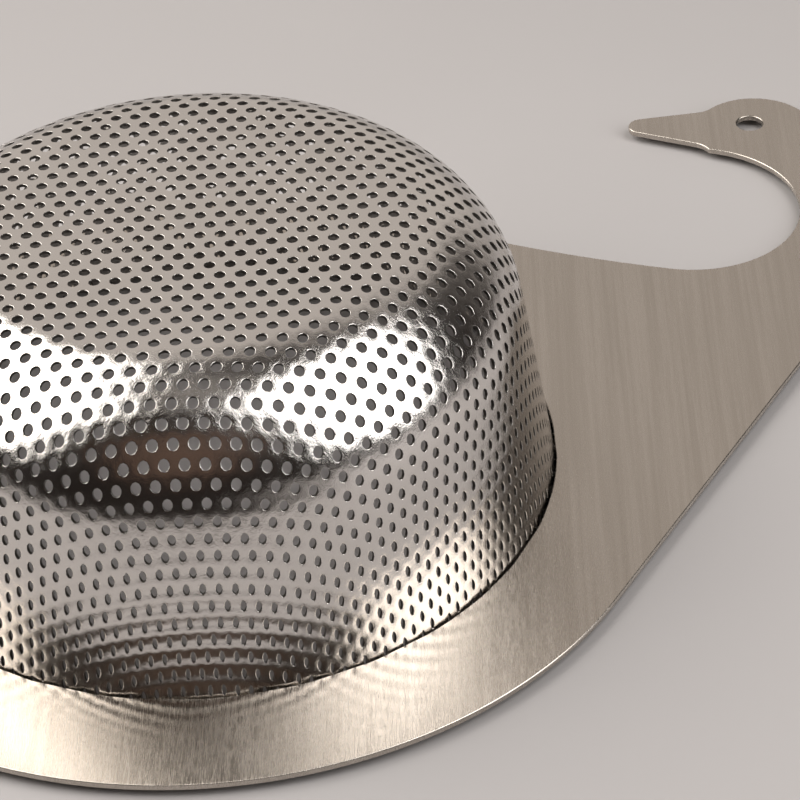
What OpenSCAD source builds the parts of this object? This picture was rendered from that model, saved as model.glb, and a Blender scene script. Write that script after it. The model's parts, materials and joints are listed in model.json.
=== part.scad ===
// Strainer that hangs by a goose-neck hook. It lifts apart into two: a deep-drawn perforated
// basket with a folded steel rim, and a flat holder plate cut to the outline of a goose.
// It lies mouth down: the rim rests on the table at z = 0, the basket stands up along the Z
// axis and the holder lies on the rim. The goose's neck and head reach towards +X and +Y.

/* [Basket] */
// Outer radius of the basket wall, level with the holder's upper face
basket_r = 63; // [58:0.5:64]
// Height of the basket above the holder's upper face
basket_h = 52.2; // [35:0.1:70]
// Taper of the wall, in degrees from upright
draft = 8.5; // [2:0.5:12]
// Outer radius of the corner between wall and floor
corner_r = 23.3; // [8:0.1:26]
// Thickness of the basket's sheet
sheet_t = 0.6; // [0.4:0.1:1]
// Radius of the bend between wall and flange, on the holder's side
bend_r = 0.8; // [0.6:0.1:1.2]

/* [Perforation] */
// Radius of the round holes in the flat sheet
hole_r = 1; // [0.75:0.05:1.25]
// Distance between neighbouring holes, whose centres make equal triangles
pitch = 3.5; // [3:0.1:5]
// Direction of the rows, in degrees from +X
rows_a = 2.5; // [-30:0.5:30]
// Place of one hole: the blank is cut from its sheet without regard to the rows
rows_at = [3.2, -4.4]; // [-5:0.1:5]

/* [Rim] */
// Outer radius of the steel ring folded over the flange's edge
rim_r = 75; // [73:0.5:80]
// Radial width of the folded ring
rim_w = 5; // [3:0.5:6]
// Thickness of the ring's sheet
rim_t = 0.4; // [0.3:0.1:0.6]
// Radial play between the flange's edge and the fold
rim_play = 0.2; // [0.1:0.1:0.5]

/* [Holder] */
// Thickness of the holder plate
plate_t = 1.2; // [1:0.1:2]
// Radial play between the basket's wall and the holder's hole
play = 0.5; // [0.4:0.1:1]
// Outer radius of the goose's round body
body_r = 83.4; // [80:0.1:90]
// Distance of the hook's centre from the basket's axis
hook_d = 121; // [118:0.5:126]
// Direction of the hook's centre, in degrees from +X
hook_a = 39.1; // [36:0.1:42]
// Inner radius of the hook
hook_r = 22; // [18:0.5:24]
// Width of the neck round the hook
neck_w = 19.2; // [15:0.1:22]
// Radius of the long hollow curve from the body to the hook
back_r = 250; // [150:10:400]

/* [Head] */
// Radius of the head
head_r = 12.4; // [11:0.1:14]
// Distance of the head's centre from the hook's centre
head_d = 32.4; // [31:0.1:34]
// Direction of the head's centre from the hook's centre, in degrees from +X
head_a = 61; // [55:1:66]
// Radius of the hollow curve at the nape
nape_r = 20; // [10:1:30]
// Direction in which the beak points, in degrees from +X
beak_a = 173; // [168:1:180]
// Length of the beak, from the head's centre to its tip
beak_l = 26.6; // [22:0.1:30]
// Height of the beak where it leaves the head
beak_h = 13; // [10:0.5:16]
// Radius of the beak's blunt tip
beak_tip_r = 2.8; // [2:0.1:4]
// Radius of the hollow curves between beak and head
brow_r = 5; // [2:0.5:8]
// Radius of the eye, a hole that also hangs the holder on a nail
eye_r = 2.85; // [2:0.05:4]
// Place of the eye from the head's centre: towards the beak, and towards the crown
eye_at = [1.2, 2.3]; // [0:0.1:4]

/* [Hidden] */
$fn = 128;
past = 1; // how far a cutter or a joined shape runs past the face that it meets
neck_lap = 10; // degrees that the curved neck laps into the shoulder

// Heights of the stack: ring, flange, ring, holder, basket
flange_z = rim_t;
seat_z = 2 * rim_t + sheet_t;
plate_z = seat_z + plate_t;
top_z = plate_z + basket_h;

// The basket's outline: a tapered wall between the bend's centre and the corner's centre
wall_out = [cos(draft), sin(draft)];
wall_d = basket_r * wall_out.x + plate_z * wall_out.y; // from the origin to the wall's line
corner_z = top_z - corner_r;
corner_c = [(wall_d - corner_r - corner_z * wall_out.y) / wall_out.x, corner_z];
bend_z = flange_z + sheet_t + bend_r;
bend_c = [(wall_d + bend_r - bend_z * wall_out.y) / wall_out.x, bend_z];

// The holes: only those that lie whole in the flat floor are cut. Further out, drawing the sheet
// has carried them onto the corner and the wall and squeezed them into slots.
holes_r = corner_c.x - hole_r;
row_gap = pitch * sin(60);
rows = ceil((holes_r + norm(rows_at)) / row_gap);

// The rim's outline: the fold is a half circle round the flange's edge
fold_r = seat_z / 2;
fold_x = rim_r - fold_r;
flange_r = fold_x - rim_play;

// The goose's outline: tangent circles, each given by its centre
seat_r = basket_r + play;
neck_r = hook_r + neck_w;
hook_c = hook_d * dir(hook_a);
flank_a = hook_a - acos((body_r - neck_r) / hook_d);
back_a = hook_a + corner_angle(body_r + back_r, hook_d, back_r - hook_r);
back_c = (body_r + back_r) * dir(back_a);
head_c = hook_c + head_d * dir(head_a);
nape_a = head_a - corner_angle(neck_r + nape_r, head_d, head_r + nape_r);
nape_c = hook_c + (neck_r + nape_r) * dir(nape_a);

// The beak, with its own X axis from the head's centre to the tip
beak_root = [sqrt(pow(head_r, 2) - pow(beak_h / 2, 2)), beak_h / 2];
beak_tip = [beak_l - beak_tip_r, 0];
beak_taper = atan2(beak_root.y, beak_tip.x - beak_root.x)
    - asin(beak_tip_r / norm(beak_tip - beak_root));
beak_out = [sin(beak_taper), cos(beak_taper)];
brow_d = beak_root * beak_out + brow_r;
brow_c = brow_d * beak_out
    + sqrt(pow(head_r + brow_r, 2) - pow(brow_d, 2)) * [beak_out.y, -beak_out.x];

// Unit vector at an angle from +X
function dir(a) = [cos(a), sin(a)];

// Angle of a triangle between its sides a and b, opposite its side c
function corner_angle(a, b, c) = acos((a * a + b * b - c * c) / (2 * a * b));

// Drawn cup: perforated floor, corner and tapered wall, then a bend out into the flat flange
module strainer_basket() {
    color("lightsteelblue") difference() {
        rotate_extrude() basket_section();
        translate([0, 0, top_z - sheet_t - past]) linear_extrude(sheet_t + 2 * past) floor_holes();
    }
}

// Half of the basket's section, from the axis to the flange's edge
module basket_section() {
    translate([0, top_z - sheet_t]) square([corner_c.x, sheet_t]);
    arc_band(corner_c, corner_r - sheet_t, corner_r, draft, 90);
    polygon([
        corner_c + corner_r * wall_out,
        corner_c + (corner_r - sheet_t) * wall_out,
        bend_c - (bend_r + sheet_t) * wall_out,
        bend_c - bend_r * wall_out,
    ]);
    arc_band(bend_c, bend_r, bend_r + sheet_t, 180 + draft, 270);
    translate([bend_c.x, flange_z]) square([flange_r - bend_c.x, sheet_t]);
}

// The holes of the flat floor, in rows of equal triangles
module floor_holes() {
    for (row = [-rows : rows], place = [-2 * rows : 2 * rows]) {
        hole_c = rows_at + place * pitch * dir(rows_a) + row * pitch * dir(rows_a + 60);
        if (norm(hole_c) < holes_r) translate(hole_c) circle(hole_r, $fn = 24);
    }
}

// Steel ring folded over the flange's cut edge, which the holder rests on
module rim_ring() {
    color("silver") rotate_extrude() difference() {
        union() {
            translate([rim_r - rim_w, 0]) square([rim_w - fold_r, seat_z]);
            translate([fold_x, fold_r]) circle(fold_r);
        }
        translate([rim_r - rim_w - past, flange_z]) square([rim_w - fold_r + past, sheet_t]);
        translate([fold_x, fold_r]) circle(sheet_t / 2);
    }
}

// Flat plate: round body with the basket's hole, neck curled round the hook, head and beak
module goose_holder() {
    color("gainsboro") translate([0, 0, seat_z]) linear_extrude(plate_t) difference() {
        union() {
            circle(body_r);
            shoulder();
            arc_band(hook_c, hook_r, neck_r, flank_a - neck_lap, head_a);
            nape();
            translate(head_c) rotate(beak_a) head();
        }
        circle(seat_r);
        translate(hook_c) circle(hook_r);
        translate(head_c) rotate(beak_a) translate([eye_at.x, -eye_at.y]) circle(eye_r);
    }
}

// The stretch from the round body to the neck, straight at the front and hollow at the back
module shoulder() {
    bowl = back_c + (back_r + past) * (hook_c - back_c) / norm(hook_c - back_c);
    polygon([[0, 0], body_r * dir(flank_a), hook_c + neck_r * dir(flank_a), hook_c, bowl]);
    difference() {
        polygon([seat_r * dir(flank_a), bowl, back_c, seat_r * dir(back_a)]);
        translate(back_c) circle(back_r);
    }
}

// Fillet between the neck's outer curve and the head
module nape() {
    difference() {
        polygon([hook_c + (hook_r + neck_w / 2) * dir(nape_a), nape_c, head_c]);
        translate(nape_c) circle(nape_r);
    }
}

// Head at the origin with its beak along +X
module head() {
    edge = beak_tip + beak_tip_r * beak_out; // where the beak's side meets its round tip
    side = [beak_out.y, -beak_out.x];
    start = beak_root - brow_r * side;
    circle(head_r);
    translate(beak_tip) circle(beak_tip_r);
    polygon([edge, start, [start.x, -start.y], [edge.x, -edge.y]]);
    for (half = [0, 1]) mirror([0, half]) difference() {
        polygon([[0, 0], brow_c - (brow_r + past) * beak_out, brow_c]);
        translate(brow_c) circle(brow_r);
    }
}

// Sector of a flat ring round c, from angle a0 to a1, under 180 degrees
module arc_band(c, r_in, r_out, a0, a1) {
    reach = 2 * r_out / cos((a1 - a0) / 4);
    translate(c) intersection() {
        difference() {
            circle(r_out);
            circle(r_in);
        }
        polygon([[0, 0], reach * dir(a0), reach * dir((a0 + a1) / 2), reach * dir(a1)]);
    }
}

strainer_basket();
rim_ring();
goose_holder();
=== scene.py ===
"""A drawn, perforated strainer basket lying mouth down under its flat goose-shaped holder.

The basket is a perforated blank that is carried, hole by hole, onto the drawn cup, so the round
holes of the floor turn into the squeezed slots of the wall. The holder is a flat plate with
softened edges, cut to the same outline as its CAD node. Lengths are in millimetres until a mesh
is made, and in metres for lights and camera.
"""
import json
import math

import bpy
import numpy as np
from mathutils import Matrix, Vector
from mathutils.geometry import delaunay_2d_cdt

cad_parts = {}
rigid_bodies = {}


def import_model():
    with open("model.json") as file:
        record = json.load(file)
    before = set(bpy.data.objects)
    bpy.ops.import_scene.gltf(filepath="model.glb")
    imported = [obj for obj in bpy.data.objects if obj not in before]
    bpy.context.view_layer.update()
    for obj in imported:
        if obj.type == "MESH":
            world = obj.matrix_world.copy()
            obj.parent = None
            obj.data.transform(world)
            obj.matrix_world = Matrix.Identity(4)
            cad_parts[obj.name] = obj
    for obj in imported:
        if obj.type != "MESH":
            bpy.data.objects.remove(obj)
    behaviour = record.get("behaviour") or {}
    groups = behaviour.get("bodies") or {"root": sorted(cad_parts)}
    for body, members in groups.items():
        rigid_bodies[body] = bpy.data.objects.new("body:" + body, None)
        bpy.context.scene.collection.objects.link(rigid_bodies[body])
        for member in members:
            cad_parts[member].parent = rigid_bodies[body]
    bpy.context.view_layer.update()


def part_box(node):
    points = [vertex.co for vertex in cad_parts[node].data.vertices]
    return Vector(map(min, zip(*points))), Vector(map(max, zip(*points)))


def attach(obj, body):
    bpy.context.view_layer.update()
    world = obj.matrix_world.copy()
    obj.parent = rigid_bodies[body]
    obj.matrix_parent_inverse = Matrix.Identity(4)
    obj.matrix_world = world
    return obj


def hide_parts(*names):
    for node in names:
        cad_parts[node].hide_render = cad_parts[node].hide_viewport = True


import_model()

MM = 0.001

# ---------------------------------------------------------------- sizes that the CAD part fixes
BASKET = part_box("strainer_basket")
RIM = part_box("rim_ring")
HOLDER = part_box("goose_holder")
TOP_Z = BASKET[1][2] / MM          # top of the upturned basket
FLANGE_R = BASKET[1][0] / MM       # edge of the flange, inside the rim's fold
FLANGE_Z = BASKET[0][2] / MM       # underside of the flange
RIM_R = RIM[1][0] / MM
RIM_H = RIM[1][2] / MM             # the holder rests on this face of the rim
PLATE_Z0 = HOLDER[0][2] / MM
PLATE_Z1 = HOLDER[1][2] / MM

SHEET_T = 0.6                      # basket sheet
BASKET_R = 63.0                    # wall's outer radius, level with the holder's upper face
DRAFT = math.radians(8.5)          # taper of the wall
CORNER_R = 23.3                    # outer radius between floor and wall
BEND_R = 0.8                       # bend between wall and flange
HOLE_R = 1.0                       # holes of the flat sheet
PITCH = 3.5
ROWS_A = math.radians(2.5)         # direction of the rows of holes
ROWS_AT = np.array([3.2, -4.4])    # place of one hole
RIM_W, RIM_T = 5.0, 0.4            # folded ring: radial width and sheet

PLATE_PLAY = 0.5
BODY_R = 83.4
HOOK_D, HOOK_A, HOOK_R, NECK_W = 121.0, math.radians(39.1), 22.0, 19.2
BACK_R = 250.0
HEAD_R, HEAD_D, HEAD_A, NAPE_R = 12.4, 32.4, math.radians(61), 20.0
BEAK_A, BEAK_L, BEAK_H, BEAK_TIP_R, BROW_R = math.radians(173), 26.6, 13.0, 2.8, 5.0
EYE_R, EYE_AT = 2.85, (1.2, 2.3)


def direction(angle):
    return np.array([math.cos(angle), math.sin(angle)])


# ---------------------------------------------------------------- the drawn sheet
DRAW_POWER = 0.26                  # 1 would keep the sheet's area; its holes close up instead
CORNER_PULL = 0.093                # extra stretch of the corner, at its middle
SLIP_FROM, SLIP_TO = 36.0, 48.0    # blank radii over which the blank starts to creep in the die
TURN_MM, SWAY_MM, LAG_MM = -0.7, -1.35, 1.0    # the three ways in which it creeps; see on_sheet
SLIP_END = 4.0                     # the creep dies out over this width at the blank's edge
NO_STEP = 1e-9                     # blank radii closer than this are one


def sheet_profile(steps=400):
    """Points and outward normals along the sheet's outer face, from the axis to the flange's edge,
    with the blank radius of each.

    A circle of the blank of radius rho ends up with radius r. The sheet stretches along the
    profile by (rho / r) ** DRAW_POWER, and by a little more in the corner."""
    out = direction(DRAFT)
    wall_d = BASKET_R * out[0] + PLATE_Z1 * out[1]
    corner_z = TOP_Z - CORNER_R
    corner_x = (wall_d - CORNER_R - corner_z * out[1]) / out[0]
    bend_z = FLANGE_Z + SHEET_T + BEND_R
    bend_x = (wall_d + BEND_R - bend_z * out[1]) / out[0]
    corner = np.array([corner_x, corner_z])
    bend = np.array([bend_x, bend_z])

    stations = []                                     # (point, normal)
    for r in np.linspace(0, corner_x, steps):
        stations.append(((r, TOP_Z), (0, 1)))
    for a in np.linspace(math.pi / 2, DRAFT, steps):
        stations.append((corner + CORNER_R * direction(a), direction(a)))
    for k in np.linspace(0, 1, steps):
        stations.append(((1 - k) * (corner + CORNER_R * out) + k * (bend - BEND_R * out), out))
    for a in np.linspace(DRAFT, math.pi / 2, steps):
        stations.append((bend - BEND_R * direction(a), direction(a)))
    for r in np.linspace(bend_x, FLANGE_R, steps):
        stations.append(((r, FLANGE_Z + SHEET_T), (0, 1)))
    point = np.array([p for p, _ in stations])
    normal = np.array([n for _, n in stations])
    step = np.linalg.norm(np.diff(point, axis=0), axis=1)
    along = np.concatenate([[0], np.cumsum(step)])
    middle = (along[1:] + along[:-1]) / 2
    across_corner = np.clip((middle - along[steps]) / (along[2 * steps] - along[steps]), 0, 1)
    pull = 1 - CORNER_PULL * np.sin(math.pi * across_corner)
    power = point[:, 0] ** DRAW_POWER
    total = np.concatenate([[0], np.cumsum(step * pull * (power[1:] + power[:-1]) / 2)])
    blank = ((DRAW_POWER + 1) * total) ** (1 / (DRAW_POWER + 1))
    marks = {"bend": blank[3 * steps - 1], "flange": blank[4 * steps - 1], "edge": blank[-1]}
    keep = np.concatenate([[True], np.diff(blank) > NO_STEP])
    blank, point, normal, along = blank[keep], point[keep], normal[keep], along[keep]
    return blank, point, normal, np.gradient(along, blank), marks


BLANK, POINT, NORMAL, STRETCH, MARK = sheet_profile()


def on_sheet(xy):
    """Where blank points lie on the drawn sheet: polar angle, radius, height and profile normal.

    In the die the blank also turns a little, sways to one side and lags on the +X side."""
    rho = np.hypot(xy[:, 0], xy[:, 1])
    angle = np.arctan2(xy[:, 1], xy[:, 0])
    slip = np.clip((rho - SLIP_FROM) / (SLIP_TO - SLIP_FROM), 0, 1)
    slip = slip * slip * (3 - 2 * slip) * np.clip((MARK["edge"] - rho) / SLIP_END, 0, 1)
    rho = rho - slip * LAG_MM * np.maximum(0, np.cos(angle)) ** 2
    r = np.interp(rho, BLANK, POINT[:, 0])
    z = np.interp(rho, BLANK, POINT[:, 1])
    n = np.stack([np.interp(rho, BLANK, NORMAL[:, k]) for k in (0, 1)], axis=1)
    n /= np.linalg.norm(n, axis=1)[:, None]
    angle = angle + slip * (TURN_MM + SWAY_MM * np.cos(angle)) / np.maximum(r, 1)
    return angle, r, z, n


# ---------------------------------------------------------------- perforated basket
HOLE_SIDES = 10                    # sides of a hole above the holder
HIDDEN_SIDES = 8                   # and of one on the flange
LIP_W = 0.045                      # width of the rounded lip round a hole
LIP_MORE = 0.12                    # what it gains as the hole narrows
LIP_DROP = 0.008                   # how far the sheet sinks towards each hole
LIP_DEPTH = 0.045                  # where the lip turns into the hole's wall
LIP_TILT = 0.02                    # sine of the sheet's tilt where the lip starts
EDGE_TILT = 0.60                   # sine of the tilt at the hole's wall
LENGTHEN = 0.15                    # how much more a narrowed hole grows along the wall
POINTED = 1.6                      # how pointed a narrowed hole's ends grow
NEAR_AXIS = 1e-6                   # a blank radius below this is the axis itself
PER_MM = 500                       # corners of cells that fall on one point of this grid are one
SLIVER = 0.05                      # a cell that enters the blank by less than this is left out


def hole_outline(centre, sides):
    """Outline of one hole in the blank, and the drawn size of one blank millimetre across the
    hole and along it.

    Across, the holes come closer together, but the steel between them keeps its width."""
    rho = float(np.hypot(*centre))
    r = float(np.interp(rho, BLANK, POINT[:, 0])) if rho > NEAR_AXIS else 0.0
    squeeze = r / rho if rho > NEAR_AXIS else 1.0
    narrow = 1 - squeeze
    half_w = (HOLE_R - PITCH / 2 * narrow) / squeeze
    half_h = HOLE_R * (1 + LENGTHEN * narrow)
    power = 1 + POINTED * narrow
    turn = 2 * math.pi * (np.arange(sides) + 0.5) / sides
    u = half_w * np.sign(np.cos(turn)) * np.abs(np.cos(turn)) ** power
    v = half_h * np.sin(turn)
    return u, v, squeeze, float(np.interp(rho, BLANK, STRETCH))


class Sheet:
    """Triangles of the blank. A corner has a blank place, a depth below the outer face and a tilt,
    the blank direction in which its normal leans."""

    def __init__(self):
        self.rows, self.tris, self.kinds, self.ids = [], [], [], {}

    def corner(self, xy, layer):
        key = (round(xy[0] * PER_MM), round(xy[1] * PER_MM), layer)
        if key not in self.ids:
            self.ids[key] = self.add(xy[0], xy[1], 0 if layer == "outer" else SHEET_T, 0, 0)
        return self.ids[key]

    def add(self, x, y, depth, lean_u, lean_v):
        self.rows.append((x, y, depth, lean_u, lean_v))
        return len(self.rows) - 1

    def tri(self, a, b, c, kind):
        if a != b and b != c and c != a:
            self.tris.append((a, b, c))
            self.kinds.append(kind)

    def between(self, outer, outer_a, inner, inner_a, kind, flip=False):
        """Triangles between two closed loops, each given with its corners' rising angles."""
        i = j = 0
        n, m = len(outer), len(inner)
        while i < n or j < m:
            next_o = outer_a[(i + 1) % n] + 2 * math.pi * ((i + 1) // n)
            next_i = inner_a[(j + 1) % m] + 2 * math.pi * ((j + 1) // m)
            if j == m or (i < n and next_o <= next_i):
                t = (outer[i % n], outer[(i + 1) % n], inner[j % m])
                i += 1
            else:
                t = (outer[i % n], inner[(j + 1) % m], inner[j % m])
                j += 1
            self.tri(*(t[::-1] if flip else t), kind)


OUTER, WALL, INNER, EDGE = range(4)


def rising(loop, centre, near=0.0):
    """The angle of each point round centre, rising from the first one's, which is taken nearest to
    the angle near."""
    a = np.arctan2(loop[:, 1] - centre[1], loop[:, 0] - centre[0])
    a = np.unwrap(np.concatenate([a, a[:1]]))[:-1]
    return a + 2 * math.pi * round((near - a[0]) / (2 * math.pi))


def cell(sheet, centre, corners, has_hole):
    """One hexagon of the blank, on both faces, with its hole."""
    outer = [sheet.corner(c, "outer") for c in corners]
    inner = [sheet.corner(c, "inner") for c in corners]
    if not has_hole:
        for k in range(1, len(outer) - 1):
            sheet.tri(outer[0], outer[k], outer[k + 1], OUTER)
            sheet.tri(inner[0], inner[k + 1], inner[k], INNER)
        return
    rho = float(np.hypot(*centre))
    sides = HOLE_SIDES if rho < MARK["bend"] + PITCH else HIDDEN_SIDES
    u, v, squeeze, stretch = hole_outline(centre, sides)
    angle = math.atan2(centre[1], centre[0]) if rho > NEAR_AXIS else 0.0
    along_v = direction(angle)
    along_u = np.array([along_v[1], -along_v[0]])
    # The outline's own normal, in drawn millimetres
    du = (np.roll(u, -1) - np.roll(u, 1)) * squeeze
    dv = (np.roll(v, -1) - np.roll(v, 1)) * stretch
    length = np.hypot(du, dv)
    out_u, out_v = dv / length, -du / length
    hole = centre + np.outer(u, along_u) + np.outer(v, along_v)
    lip_w = LIP_W + LIP_MORE * (1 - squeeze)
    lip = (centre + np.outer(u + lip_w * out_u / squeeze, along_u)
           + np.outer(v + lip_w * out_v / stretch, along_v))

    def ring(points, depth, tilt):
        return [sheet.add(p[0], p[1], depth, -tilt * ou, -tilt * ov)
                for p, ou, ov in zip(points, out_u, out_v)]

    lip_ids = ring(lip, LIP_DROP, LIP_TILT)
    edge_ids = ring(hole, LIP_DEPTH, EDGE_TILT)
    wall_ids = ring(hole, LIP_DEPTH, 1.0)
    back_ids = ring(hole, SHEET_T, 1.0)
    corners = np.array(corners)
    lip_a = rising(lip, centre)
    corner_a = rising(corners, centre)
    start = int(np.argmin(np.abs((corner_a - lip_a[0] + math.pi) % (2 * math.pi) - math.pi)))
    corners = np.roll(corners, -start, axis=0)
    outer = outer[start:] + outer[:start]
    inner = inner[start:] + inner[:start]
    corner_a = rising(corners, centre, lip_a[0])
    sheet.between(outer, corner_a, lip_ids, lip_a, OUTER)
    sheet.between(inner, corner_a, back_ids, rising(hole, centre, lip_a[0]), INNER, flip=True)
    for a, b, kind in ((lip_ids, edge_ids, OUTER), (wall_ids, back_ids, WALL)):
        for k in range(sides):
            n = (k + 1) % sides
            sheet.tri(a[k], a[n], b[n], kind)
            sheet.tri(a[k], b[n], b[k], kind)


def perforated_blank():
    """Every cell of the blank out to its cut edge, and the faces of that edge."""
    sheet = Sheet()
    edge = MARK["edge"]
    holes_to = float(np.interp(RIM_R - RIM_W + PITCH, POINT[:, 0], BLANK))
    row_gap = PITCH * math.sin(math.pi / 3)
    reach = int(edge / row_gap) + 4
    corner_r = PITCH / math.sqrt(3)
    for row in range(-reach, reach + 1):
        for place in range(-2 * reach, 2 * reach + 1):
            centre = (ROWS_AT + place * PITCH * direction(ROWS_A)
                      + row * PITCH * direction(ROWS_A + math.pi / 3))
            rho = float(np.hypot(*centre))
            if rho > edge + corner_r:
                continue
            corners = [centre + corner_r * direction(ROWS_A + math.pi / 6 + k * math.pi / 3)
                       for k in range(6)]
            far = [float(np.hypot(*c)) for c in corners]
            if min(far) >= edge - SLIVER:
                continue
            corners = [c * min(1.0, edge / f) for c, f in zip(corners, far)]
            cell(sheet, centre, corners, has_hole=rho < holes_to)
    uses = {}
    for t, kind in zip(sheet.tris, sheet.kinds):
        if kind == OUTER:
            for a, b in ((t[0], t[1]), (t[1], t[2]), (t[2], t[0])):
                uses[(a, b)] = uses.get((a, b), 0) + 1
    layer_of = {i: key for key, i in sheet.ids.items()}
    for a, b in list(uses):
        if (b, a) not in uses and a in layer_of and b in layer_of:
            under = [sheet.ids[layer_of[i][:2] + ("inner",)] for i in (a, b)]
            sheet.tri(b, a, under[0], EDGE)
            sheet.tri(b, under[0], under[1], EDGE)
    return np.array(sheet.rows), np.array(sheet.tris), np.array(sheet.kinds)


ON_CUT = 1e-4                      # a corner this near to a cut lies on it


def cut_along(rows, tris, kinds, rho_cut):
    """Splits the triangles that cross a circle of the blank, so that they can bend there."""
    side = np.hypot(rows[:, 0], rows[:, 1]) - rho_cut
    side[np.abs(side) < ON_CUT] = 0
    s = side[tris]
    crossing = (s.max(axis=1) > 0) & (s.min(axis=1) < 0)
    new_rows, split, out_t, out_k = list(rows), {}, [], []
    for t, kind in zip(tris[crossing], kinds[crossing]):
        points = []
        for a, b in ((t[0], t[1]), (t[1], t[2]), (t[2], t[0])):
            points.append((a, side[a]))
            if side[a] * side[b] < 0:
                key = (min(a, b), max(a, b))
                if key not in split:
                    k = side[key[0]] / (side[key[0]] - side[key[1]])
                    split[key] = len(new_rows)
                    new_rows.append(rows[key[0]] * (1 - k) + rows[key[1]] * k)
                points.append((split[key], 0.0))
        for sign in (1, -1):
            part = [i for i, v in points if v * sign >= 0]
            for k in range(1, len(part) - 1):
                out_t.append((part[0], part[k], part[k + 1]))
                out_k.append(kind)
    if not out_t:
        return rows, tris, kinds
    return (np.array(new_rows), np.concatenate([tris[~crossing], np.array(out_t)]),
            np.concatenate([kinds[~crossing], np.array(out_k)]))


def drawn(rows, tris, kinds):
    """Places the blank's triangles on the cup: their points, and a normal for each corner."""
    angle, r, z, n = on_sheet(rows[:, :2])
    ca, sa = np.cos(angle), np.sin(angle)
    normal = np.stack([n[:, 0] * ca, n[:, 0] * sa, n[:, 1]], axis=1)
    across = np.stack([sa, -ca, np.zeros(len(ca))], axis=1)
    along = np.stack([n[:, 1] * ca, n[:, 1] * sa, -n[:, 0]], axis=1)
    points = np.stack([r * ca, r * sa, z], axis=1) - rows[:, 2:3] * normal
    lean = np.clip(np.hypot(rows[:, 3], rows[:, 4]), 0, 1)
    leaned = (normal * np.sqrt(1 - lean ** 2)[:, None]
              + across * rows[:, 3:4] + along * rows[:, 4:5])
    corner_normals = leaned[tris]
    inner = kinds == INNER
    corner_normals[inner] = -normal[tris[inner]]
    edge = kinds == EDGE
    corner_normals[edge] = along[tris[edge]]
    return points, corner_normals


BLANK_UV = 100.0                   # millimetres of the blank to one unit of its UV map


def mesh_object(name, points, faces, corner_normals, uv=None):
    mesh = bpy.data.meshes.new(name)
    mesh.from_pydata((points * MM).tolist(), [], [tuple(int(i) for i in f) for f in faces])
    mesh.polygons.foreach_set("use_smooth", [True] * len(mesh.polygons))
    if uv is not None:
        layer = mesh.uv_layers.new(name="blank")
        corners = np.concatenate([np.asarray(f) for f in faces])
        layer.data.foreach_set("uv", uv[corners].astype(np.float32).ravel())
    mesh.normals_split_custom_set(corner_normals.reshape(-1, 3).tolist())
    mesh.update()
    piece = bpy.data.objects.new(name, mesh)
    bpy.context.scene.collection.objects.link(piece)
    return piece


BEND_CUTS = 6                      # circles along which the sheet bends out into the flange


def perforated_basket():
    rows, tris, kinds = perforated_blank()
    for cut in np.linspace(MARK["bend"], MARK["flange"], BEND_CUTS):
        rows, tris, kinds = cut_along(rows, tris, kinds, float(cut))
    points, corner_normals = drawn(rows, tris, kinds)
    piece = mesh_object("perforated_basket", points, tris, corner_normals,
                        uv=rows[:, :2] / BLANK_UV)
    # The holes' walls take the dark material, whose colour is painted shade inside the holes and slits.
    hole_walls_painted_shade = (kinds == WALL).astype(int)              # the second material, for the holes' walls
    piece.data.polygons.foreach_set("material_index", hole_walls_painted_shade.tolist())
    return piece


# ---------------------------------------------------------------- folded rim ring
def turned(name, section, section_normals, steps):
    """A closed section of (radius, height) points turned round the Z axis."""
    m = len(section)
    turn = 2 * math.pi * np.arange(steps) / steps
    ca, sa = np.cos(turn)[:, None], np.sin(turn)[:, None]
    points = np.stack([section[:, 0] * ca, section[:, 0] * sa,
                       np.broadcast_to(section[:, 1], (steps, m))], axis=2).reshape(-1, 3)
    normals = np.stack([section_normals[:, 0] * ca, section_normals[:, 0] * sa,
                        np.broadcast_to(section_normals[:, 1], (steps, m))], axis=2).reshape(-1, 3)
    faces = []
    for i in range(steps):
        for j in range(m):
            a, b = i * m + j, i * m + (j + 1) % m
            c, d = ((i + 1) % steps) * m + (j + 1) % m, ((i + 1) % steps) * m + j
            faces.append((a, d, c, b))
    faces = np.array(faces)
    return mesh_object(name, points, faces, normals[faces])


def loop_normals(section):
    """Outward normals of a closed section that runs anticlockwise."""
    d = np.roll(section, -1, axis=0) - np.roll(section, 1, axis=0)
    n = np.stack([d[:, 1], -d[:, 0]], axis=1)
    return n / np.linalg.norm(n, axis=1)[:, None]


def folded_rim():
    """The ring's section: two leaves joined by a half-round fold, with rounded free edges."""
    fold_r = RIM_H / 2
    fold = np.array([RIM_R - fold_r, fold_r])
    inner_x = RIM_R - RIM_W
    slot_r = fold_r - RIM_T
    leaf_r = RIM_T / 2
    loop = []

    def arc(centre, radius, a0, a1, n):
        loop.extend(np.array(centre) + radius * direction(a) for a in np.linspace(a0, a1, n))

    def line(x0, x1, z, n):
        loop.extend(np.array([x, z]) for x in np.linspace(x0, x1, n)[1:-1])

    arc((inner_x + leaf_r, leaf_r), leaf_r, math.pi, 1.5 * math.pi, 5)
    line(inner_x + leaf_r, fold[0], 0, 5)
    arc(fold, fold_r, -0.5 * math.pi, 0.5 * math.pi, 13)
    line(fold[0], inner_x + leaf_r, RIM_H, 5)
    arc((inner_x + leaf_r, RIM_H - leaf_r), leaf_r, 0.5 * math.pi, 1.5 * math.pi, 9)
    line(inner_x + leaf_r, fold[0], RIM_H - RIM_T, 5)
    arc(fold, slot_r, 0.5 * math.pi, -0.5 * math.pi, 9)
    line(fold[0], inner_x + leaf_r, RIM_T, 5)
    arc((inner_x + leaf_r, leaf_r), leaf_r, 0.5 * math.pi, 0.95 * math.pi, 5)
    section = np.array(loop)
    return turned("folded_rim", section, loop_normals(section), 240)


# ---------------------------------------------------------------- goose-shaped holder
ARC_STEP = 0.9                     # length of a side along the outline's round stretches
EDGE_R = 0.22                      # softening of the plate's edges


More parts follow.
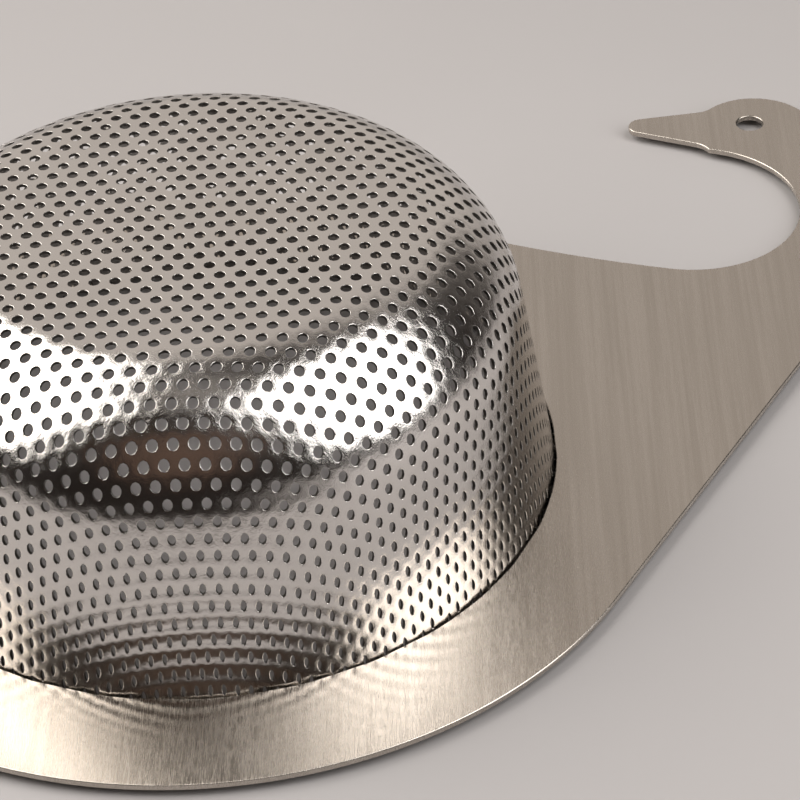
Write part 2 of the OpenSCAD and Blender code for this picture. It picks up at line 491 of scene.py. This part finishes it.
def arc_points(centre, radius, a0, a1):
    """Points from angle a0 to a1, without the last."""
    n = max(6, int(abs(a1 - a0) * radius / ARC_STEP))
    return [np.array(centre) + radius * direction(a) for a in np.linspace(a0, a1, n + 1)[:-1]]


def corner_angle(a, b, c):
    return math.acos((a * a + b * b - c * c) / (2 * a * b))


def goose_outline():
    """The plate's outer edge, anticlockwise, as arcs that run into each other."""
    neck_r = HOOK_R + NECK_W
    hook_c = HOOK_D * direction(HOOK_A)
    flank_a = HOOK_A - math.acos((BODY_R - neck_r) / HOOK_D)
    back_a = HOOK_A + corner_angle(BODY_R + BACK_R, HOOK_D, BACK_R - HOOK_R)
    back_c = (BODY_R + BACK_R) * direction(back_a)
    head_c = hook_c + HEAD_D * direction(HEAD_A)
    nape_a = HEAD_A - corner_angle(neck_r + NAPE_R, HEAD_D, HEAD_R + NAPE_R)
    nape_c = hook_c + (neck_r + NAPE_R) * direction(nape_a)

    root = np.array([math.sqrt(HEAD_R ** 2 - (BEAK_H / 2) ** 2), BEAK_H / 2])
    tip = np.array([BEAK_L - BEAK_TIP_R, 0])
    taper = (math.atan2(root[1], tip[0] - root[0])
             - math.asin(BEAK_TIP_R / np.linalg.norm(tip - root)))
    out = np.array([math.sin(taper), math.cos(taper)])
    brow_d = root @ out + BROW_R
    brow = brow_d * out + math.sqrt((HEAD_R + BROW_R) ** 2 - brow_d ** 2) * np.array([out[1], -out[0]])
    brow_a = math.atan2(brow[1], brow[0])

    def placed(x, y):
        """From the head's own axes, with the beak along X, to the part's."""
        return head_c + x * direction(BEAK_A) + y * direction(BEAK_A + math.pi / 2)

    def angle(of, seen_from):
        d = np.array(of) - np.array(seen_from)
        return math.atan2(d[1], d[0])

    loop = arc_points((0, 0), BODY_R, back_a, flank_a + 2 * math.pi)
    loop += arc_points(hook_c, neck_r, flank_a, nape_a)
    start = nape_a + math.pi
    stop = angle(head_c, nape_c)
    stop += 2 * math.pi * round((start - stop) / (2 * math.pi))
    loop += arc_points(nape_c, NAPE_R, start, stop)
    # Round the head's crown to the brow on the crown's side, which is -Y of the head's axes.
    a0 = angle(nape_c, head_c)
    upper_brow = placed(brow[0], -brow[1])
    lower_brow = placed(brow[0], brow[1])
    a1 = angle(upper_brow, head_c)
    a1 += 2 * math.pi * (a1 < a0)
    loop += arc_points(head_c, HEAD_R, a0, a1)
    b0 = a1 + math.pi
    b1 = BEAK_A + math.pi / 2 + taper
    b1 += 2 * math.pi * round((b0 - b1) / (2 * math.pi))
    loop += arc_points(upper_brow, BROW_R, b0, b1)
    t0 = BEAK_A - math.pi / 2 + taper
    t1 = BEAK_A + math.pi / 2 - taper
    loop += arc_points(placed(*tip), BEAK_TIP_R, t0, t1)
    c0 = t1 + math.pi
    c1 = angle(head_c, lower_brow)
    c1 += 2 * math.pi * round((c0 - c1) / (2 * math.pi))
    loop += arc_points(lower_brow, BROW_R, c0, c1)
    # Down the throat to where the head meets the hook's bowl, then round the bowl to the back.
    d0 = c1 + math.pi
    d1 = HEAD_A + math.pi - corner_angle(HEAD_R, HEAD_D, HOOK_R)
    d1 += 2 * math.pi * round((d0 - d1) / (2 * math.pi))
    loop += arc_points(head_c, HEAD_R, d0, d1)
    e0 = HEAD_A + corner_angle(HOOK_R, HEAD_D, HEAD_R)
    e1 = angle(hook_c, back_c) - 2 * math.pi * (angle(hook_c, back_c) > e0)
    loop += arc_points(hook_c, HOOK_R, e0, e1)
    f0 = angle(hook_c, back_c)
    f1 = back_a + math.pi
    f1 += 2 * math.pi * round((f0 - f1) / (2 * math.pi))
    loop += arc_points(back_c, BACK_R, f0, f1)
    eye = placed(EYE_AT[0], -EYE_AT[1])
    return np.array(loop), eye


def goose_plate():
    outline, eye = goose_outline()
    circle = 2 * math.pi
    hole = np.array(arc_points((0, 0), BASKET_R + PLATE_PLAY, circle, 0))
    eye_hole = np.array(arc_points(eye, EYE_R, circle, 0))
    # (inset from the wall, height, lean of the normal) down the edge's section
    section = [(EDGE_R, PLATE_Z1, 0.0)]
    for a in np.linspace(0, math.pi / 2, 4)[1:]:
        section.append((EDGE_R * (1 - math.sin(a)), PLATE_Z1 - EDGE_R * (1 - math.cos(a)), math.sin(a)))
    section += [(i, PLATE_Z0 + PLATE_Z1 - h, s) for i, h, s in section[::-1]]
    points, normals, faces, caps = [], [], [], []
    for loop in (outline, hole, eye_hole):
        out = loop_normals(loop)
        n, base = len(loop), len(points)
        for level, (inset, height, lean) in enumerate(section):
            up = math.sqrt(max(0.0, 1 - lean * lean)) * (1 if level < len(section) / 2 else -1)
            for p, o in zip(loop, out):
                points.append((*(p - inset * o), height))
                normals.append((*(lean * o), up))
        for level in range(len(section) - 1):
            for k in range(n):
                a, b = base + level * n + k, base + level * n + (k + 1) % n
                faces.append((a, a + n, b + n, b))
        caps.append((base, n))
    points, normals = np.array(points), np.array(normals)
    top = [Vector(points[b + k][:2]) for b, n in caps for k in range(n)]
    ids = [b + k for b, n in caps for k in range(n)]
    bottom_shift = {b: (len(section) - 1) * n for b, n in caps}
    edges, at = [], 0
    for b, n in caps:
        edges += [(at + k, at + (k + 1) % n) for k in range(n)]
        at += n
    flat, _, tris, *_ = delaunay_2d_cdt(top, edges, [], 1, 1e-7)
    if len(flat) != len(top):
        raise RuntimeError("the holder's outline crosses itself")
    caps_of = [b for b, n in caps for _ in range(n)]
    kept = []
    for t in tris:
        mid = sum((flat[i] for i in t), Vector((0, 0))) / 3
        if mid.length > BASKET_R + PLATE_PLAY and (mid - Vector(eye)).length > EYE_R:
            kept.append(t)
    for t in kept:
        faces.append(tuple(ids[i] for i in t))
        faces.append(tuple(ids[i] + bottom_shift[caps_of[i]] for i in t[::-1]))
    corner_normals = np.concatenate([normals[list(f)] for f in faces])
    return mesh_object("goose_plate", points, faces, corner_normals,
                       uv=points[:, :2] / BLANK_UV)


# ---------------------------------------------------------------- materials
WAVE_RATE = 2 * math.pi / (PITCH * math.sin(math.pi / 3))   # one wave to each row of holes
DIMPLE_MM = (0.004, 0.008, 0.003, 0.010)   # dimples on the floor, corner, wall and foot
RIPPLE_MM = (0.0, 0.055)           # ripples of the wall, at its top and at its foot
SIDE_RIPPLE = 0.3                  # how strong they are away from the front and the back
FACING_POWER = 10                  # how quickly a ripple fades beside its own direction
# Blank radii between which the corner, wall, foot and ripples come in, and the orange peel
CORNER_AT, WALL_AT, FOOT_AT, RIPPLE_AT, PEEL_AT = (34, 44), (54, 68), (76, 92), (66, 88), (32, 44)
FLOOR_PEEL = 0.3                   # orange peel of the flat floor, against the corner's
# Depths of the bumps, in metres
SWELL_DEPTH, PEEL_DEPTH, GRAIN_DEPTH = 0.00010, 0.000043, 0.000003
TEAR_DEPTH = 0.00002
STREAK_DEPTH, HAIR_DEPTH = 0.0000008, 0.0000010
NOISE_BAND = (0.3, 0.7)            # the range that noise mostly keeps to


def new_material(name):
    material = bpy.data.materials.new(name)
    material.use_nodes = True
    tree = material.node_tree
    return material, tree, tree.nodes["Principled BSDF"]


def node(tree, kind, **values):
    """A node with its properties, and its sockets by name, set."""
    made = tree.nodes.new(kind)
    for key, value in values.items():
        if hasattr(made, key):
            setattr(made, key, value)
        else:
            made.inputs[key.replace("_", " ")].default_value = value
    return made


def noise(tree, where, stretch, scale, detail=3.0, rough=0.5):
    """Noise over the object's own coordinates, drawn out by stretch."""
    mapping = node(tree, "ShaderNodeMapping")
    mapping.inputs["Scale"].default_value = stretch
    tree.links.new(where, mapping.inputs["Vector"])
    made = node(tree, "ShaderNodeTexNoise", Scale=scale, Detail=detail, Roughness=rough)
    tree.links.new(mapping.outputs["Vector"], made.inputs["Vector"])
    return made.outputs["Fac"]


def spread(tree, value, low, high, to_low, to_high):
    """Carries values from low to high smoothly over to to_low to to_high."""
    made = node(tree, "ShaderNodeMapRange")
    made.interpolation_type = "SMOOTHSTEP"
    for name, number in zip(("From Min", "From Max", "To Min", "To Max"),
                            (low, high, to_low, to_high)):
        made.inputs[name].default_value = number
    tree.links.new(value, made.inputs["Value"])
    return made.outputs["Result"]


def math_node(tree, operation, a, b):
    made = node(tree, "ShaderNodeMath", operation=operation)
    for socket, value in zip(made.inputs, (a, b)):
        if isinstance(value, (int, float)):
            socket.default_value = value
        else:
            tree.links.new(value, socket)
    return made.outputs["Value"]


def tint(tree, factor, dark, light):
    made = node(tree, "ShaderNodeMix", data_type="RGBA")
    made.inputs["A"].default_value = (*dark, 1)
    made.inputs["B"].default_value = (*light, 1)
    tree.links.new(factor, made.inputs["Factor"])
    return made.outputs["Result"]


def bump(tree, height, depth, under=None):
    made = node(tree, "ShaderNodeBump", Strength=1.0, Distance=depth)
    tree.links.new(height, made.inputs["Height"])
    if under is not None:
        tree.links.new(under, made.inputs["Normal"])
    return made.outputs["Normal"]


def lattice_height(tree):
    """Height in millimetres of the sheet between its holes, over the blank's own coordinates.

    Three waves cross at the holes. On the floor they leave a faint dimple at each hole; towards
    the flange, those that run down the wall grow into ripples, one to each row of holes."""
    flat = node(tree, "ShaderNodeUVMap", uv_map="blank").outputs["UV"]
    scaled = node(tree, "ShaderNodeVectorMath", operation="SCALE", Scale=BLANK_UV)
    tree.links.new(flat, scaled.inputs["Vector"])
    place = scaled.outputs["Vector"]
    length = node(tree, "ShaderNodeVectorMath", operation="LENGTH")
    tree.links.new(place, length.inputs["Vector"])
    rho = math_node(tree, "MAXIMUM", length.outputs["Value"], 0.1)
    dimples = ripples = None
    for turn in (30, 90, 150):
        across = direction(ROWS_A + math.radians(turn))
        dot = node(tree, "ShaderNodeVectorMath", operation="DOT_PRODUCT")
        tree.links.new(place, dot.inputs[0])
        dot.inputs[1].default_value = (*across, 0)
        along = dot.outputs["Value"]
        phase = math_node(tree, "SUBTRACT", along, float(ROWS_AT @ across))
        wave = math_node(tree, "COSINE", math_node(tree, "MULTIPLY", phase, WAVE_RATE), 0)
        facing = math_node(tree, "POWER", math_node(tree, "ABSOLUTE", math_node(
            tree, "DIVIDE", along, rho), 0), FACING_POWER)
        share = 1.0 if turn == 90 else SIDE_RIPPLE
        ripple = math_node(tree, "MULTIPLY", wave, math_node(tree, "MULTIPLY", facing, share))
        dimples = wave if dimples is None else math_node(tree, "ADD", dimples, wave)
        ripples = ripple if ripples is None else math_node(tree, "ADD", ripples, ripple)
    floor_mm, corner_mm, wall_mm, foot_mm = DIMPLE_MM
    swing = math_node(tree, "ADD", spread(tree, rho, *CORNER_AT, floor_mm, corner_mm),
                      spread(tree, rho, *WALL_AT, 0, wall_mm - corner_mm))
    swing = math_node(tree, "ADD", swing, spread(tree, rho, *FOOT_AT, 0, foot_mm - wall_mm))
    low = math_node(tree, "MULTIPLY", dimples, swing)
    high = math_node(tree, "MULTIPLY", ripples, spread(tree, rho, *RIPPLE_AT, *RIPPLE_MM))
    return math_node(tree, "SUBTRACT", 0, math_node(tree, "ADD", low, high)), rho


def drawn_steel(name, perforated=True):
    """Bright rolled sheet: fine rolling grain, and the soft orange peel that drawing leaves."""
    material, tree, shader = new_material(name)
    where = node(tree, "ShaderNodeTexCoord").outputs["Object"]
    grain = noise(tree, where, (1, 1, 1), 2600, 2.0)
    peel = noise(tree, where, (1, 1, 1), 1700, 5.0, 0.7)
    swell = noise(tree, where, (1, 1, 1), 150, 2.0)
    cloud = noise(tree, where, (1, 1, 1), 60, 4.0)
    shader.inputs["Metallic"].default_value = 1.0
    tree.links.new(tint(tree, cloud, (0.66, 0.632, 0.60), (0.75, 0.72, 0.69)),
                   shader.inputs["Base Color"])
    rough = math_node(tree, "ADD", spread(tree, cloud, *NOISE_BAND, 0.10, 0.14),
                      spread(tree, grain, *NOISE_BAND, 0.0, 0.04))
    tree.links.new(rough, shader.inputs["Roughness"])
    normal = bump(tree, swell, SWELL_DEPTH)
    if perforated:
        height, rho = lattice_height(tree)
        peel = math_node(tree, "MULTIPLY", peel, spread(tree, rho, *PEEL_AT, FLOOR_PEEL, 1))
        normal = bump(tree, height, MM, normal)
    normal = bump(tree, peel, PEEL_DEPTH, normal)
    normal = bump(tree, grain, GRAIN_DEPTH, normal)
    tree.links.new(normal, shader.inputs["Normal"])
    return material


def punched_steel_painted_shade(name):
    """The torn, matt wall that a punch leaves. Its roughness and tear are real; its dark colour is
    painted shade, darkening the holes and slits as the shade inside them would.
    """
    material, tree, shader = new_material(name)
    where = node(tree, "ShaderNodeTexCoord").outputs["Object"]
    tear = noise(tree, where, (1, 1, 0.3), 5000, 2.0)
    shader.inputs["Metallic"].default_value = 1.0
    # Painted shade: these dark tones stand in for the shade inside the holes and slits, not for a
    # darker steel.
    tree.links.new(tint(tree, tear, (0.10, 0.092, 0.084), (0.19, 0.176, 0.162)),
                   shader.inputs["Base Color"])
    shader.inputs["Roughness"].default_value = 0.45
    tree.links.new(bump(tree, tear, TEAR_DEPTH), shader.inputs["Normal"])
    return material


def brushed_steel(name):
    """Satin plate with straight brushing along Y and faint longer scratches."""
    material, tree, shader = new_material(name)
    where = node(tree, "ShaderNodeTexCoord").outputs["Object"]
    hair = noise(tree, where, (1, 0.05, 1), 7500, 3.0, 0.7)
    streak = noise(tree, where, (1, 0.02, 1), 900, 3.0)
    cloud = noise(tree, where, (1, 1, 1), 28, 3.0)
    shader.inputs["Metallic"].default_value = 1.0
    shader.inputs["Anisotropic"].default_value = 0.95
    both = math_node(tree, "MULTIPLY", hair, streak)
    tree.links.new(tint(tree, spread(tree, both, 0.12, 0.40, 0, 1),
                        (0.480, 0.436, 0.387), (0.555, 0.508, 0.457)), shader.inputs["Base Color"])
    rough = math_node(tree, "ADD", spread(tree, cloud, *NOISE_BAND, 0.22, 0.26),
                      spread(tree, hair, *NOISE_BAND, -0.06, 0.08))
    tree.links.new(rough, shader.inputs["Roughness"])
    tangent = node(tree, "ShaderNodeTangent", direction_type="UV_MAP", uv_map="blank")
    tree.links.new(tangent.outputs["Tangent"], shader.inputs["Tangent"])
    normal = bump(tree, streak, STREAK_DEPTH)
    normal = bump(tree, hair, HAIR_DEPTH, normal)
    tree.links.new(normal, shader.inputs["Normal"])
    return material


def plain_floor(name):
    """Matt, pale and very slightly uneven."""
    material, tree, shader = new_material(name)
    where = node(tree, "ShaderNodeTexCoord").outputs["Object"]
    cloud = noise(tree, where, (1, 1, 1), 9, 4.0)
    tree.links.new(tint(tree, cloud, (0.300, 0.285, 0.282), (0.326, 0.311, 0.308)),
                   shader.inputs["Base Color"])
    shader.inputs["Roughness"].default_value = 0.8
    return material


# ---------------------------------------------------------------- pieces
basket = perforated_basket()
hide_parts("strainer_basket")
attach(basket, "basket")
basket.data.materials.append(drawn_steel("perforated_steel_finish"))
# The holes' walls: torn, matt steel with painted shade in its dark colour.
basket.data.materials.append(punched_steel_painted_shade("punched_edge_painted_shade"))

rim = folded_rim()
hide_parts("rim_ring")
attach(rim, "basket")
rim.data.materials.append(drawn_steel("rim_steel_finish", perforated=False))

plate = goose_plate()
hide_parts("goose_holder")
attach(plate, "holder")
plate.data.materials.append(brushed_steel("brushed_plate_finish"))

# ---------------------------------------------------------------- floor, light and camera
FLOOR_HALF = 1.1                   # metres
# Steel mirrors no floor that is both nearer the camera than FLOOR_FRONT and left of FLOOR_SIDE
FLOOR_FRONT, FLOOR_SIDE = -0.155, 0.16


def floor(name, outline, finish):
    mesh = bpy.data.meshes.new(name)
    mesh.from_pydata([(x, y, 0) for x, y in outline], [], [tuple(range(len(outline)))])
    piece = bpy.data.objects.new(name, mesh)
    bpy.context.scene.collection.objects.link(piece)
    mesh.materials.append(finish)
    return piece


def floors():
    """Two pieces that look like one to the camera; only the larger is mirrored in steel."""
    finish = plain_floor("plain_floor_finish")
    half, side, front = FLOOR_HALF, FLOOR_SIDE, FLOOR_FRONT
    around = [(-half, front), (side, front), (side, -half), (half, -half), (half, half),
              (-half, half)]
    floor("floor", around, finish)
    ahead = floor("floor_in_front", [(-half, -half), (side, -half), (side, front), (-half, front)],
                  finish)
    ahead.visible_glossy = False


def towards(az, el):
    """Unit vector from the part, az from the camera's side round to +X, el up, in degrees."""
    az, el = math.radians(az), math.radians(el)
    return Vector((math.sin(az) * math.cos(el), -math.cos(az) * math.cos(el), math.sin(el)))


SOFTBOX_D = 0.8                    # metres from the part to a softbox's centre


def softbox(name, place, facing, roll, size, radiance, colour):
    """A rectangular light in direction place from the part, with its back towards facing."""
    light = bpy.data.lights.new(name, "AREA")
    light.shape = "RECTANGLE"
    light.size, light.size_y = size
    light.energy = radiance * math.pi * size[0] * size[1]
    light.color = colour
    lamp = bpy.data.objects.new(name, light)
    turn = towards(*facing).to_track_quat("Z", "Y").to_matrix().to_4x4()
    lamp.matrix_world = (Matrix.Translation(towards(*place) * SOFTBOX_D) @ turn
                         @ Matrix.Rotation(math.radians(roll), 4, "Z"))
    lamp.visible_camera = False
    bpy.context.scene.collection.objects.link(lamp)


BACK_RAMP = (0.30, 0.72)           # how far backwards a direction points as the room gets lighter
OVER_RAMP, OVER_LEVEL = (0.94, 1.0), 0.35     # the same upwards, and how light it is overhead
PATCH, PATCH_RAMP, PATCH_LEVEL = (120, 18), (0.84, 0.96), 0.15      # dark patch behind the right
GLOW, GLOW_RAMP = (-3, 38), (0.90, 0.99)      # something brown in front, round the camera
FRONT, BROWN, ROOM = (0.020, 0.016, 0.014), (0.12, 0.076, 0.056), (0.60, 0.55, 0.51)


def studio():
    """A dim room: nearly black in front with a faint brown glow, mid grey behind with one dark
    patch, and dimmer overhead."""
    world = bpy.data.worlds.new("studio")
    bpy.context.scene.world = world
    world.use_nodes = True
    tree = world.node_tree
    where = node(tree, "ShaderNodeTexCoord").outputs["Generated"]
    split = node(tree, "ShaderNodeSeparateXYZ")
    tree.links.new(where, split.inputs["Vector"])

    def nearness(place, ramp, to_far, to_near):
        """A value that goes from to_far to to_near as a direction nears place."""
        dot = node(tree, "ShaderNodeVectorMath", operation="DOT_PRODUCT")
        tree.links.new(where, dot.inputs[0])
        dot.inputs[1].default_value = towards(*place)
        return spread(tree, dot.outputs["Value"], *ramp, to_far, to_near)

    back = spread(tree, split.outputs["Y"], *BACK_RAMP, 0, 1)
    over = spread(tree, split.outputs["Z"], *OVER_RAMP, 0, OVER_LEVEL)
    most = math_node(tree, "MAXIMUM", back, over)
    level = math_node(tree, "MULTIPLY", most, nearness(PATCH, PATCH_RAMP, 1, PATCH_LEVEL))
    front = tint(tree, nearness(GLOW, GLOW_RAMP, 0, 1), FRONT, BROWN)
    room = node(tree, "ShaderNodeMix", data_type="RGBA")
    tree.links.new(level, room.inputs["Factor"])
    tree.links.new(front, room.inputs["A"])
    room.inputs["B"].default_value = (*ROOM, 1)
    background = tree.nodes["Background"]
    tree.links.new(room.outputs["Result"], background.inputs["Color"])


# Where the picture is taken from: a place in metres, angles round, up and of roll, and a lens in mm
CAMERA_AT = (0.05033, -0.40842, 0.32932)
CAMERA_AZ, CAMERA_EL, CAMERA_ROLL = math.radians(2.07), math.radians(37.61), math.radians(-3.18)
CAMERA_LENS, CAMERA_SENSOR = 129.09, 36.0


def camera():
    back = Vector((math.sin(CAMERA_AZ) * math.cos(CAMERA_EL),
                   -math.cos(CAMERA_AZ) * math.cos(CAMERA_EL), math.sin(CAMERA_EL)))
    right = Vector((math.cos(CAMERA_AZ), math.sin(CAMERA_AZ), 0))
    up = back.cross(right)
    c, s = math.cos(CAMERA_ROLL), math.sin(CAMERA_ROLL)
    columns = (c * right + s * up, c * up - s * right, back)
    data = bpy.data.cameras.new("camera")
    data.lens, data.sensor_width = CAMERA_LENS, CAMERA_SENSOR
    data.clip_start = 0.01
    eye = bpy.data.objects.new("camera", data)
    eye.matrix_world = Matrix.Translation(CAMERA_AT) @ Matrix(columns).transposed().to_4x4()
    bpy.context.scene.collection.objects.link(eye)
    bpy.context.scene.camera = eye


floors()
softbox("right_softbox", (68.0, 42.3), (91.7, 41.6), -26.1, (0.57, 0.94), 4.7, (1.0, 0.985, 0.97))
softbox("left_softbox", (-100.5, 57.0), (-102.4, 10.8), 5.9, (0.92, 0.95), 5.1, (1.0, 0.965, 0.92))
studio()
camera()
bpy.context.scene.view_settings.view_transform = "Standard"
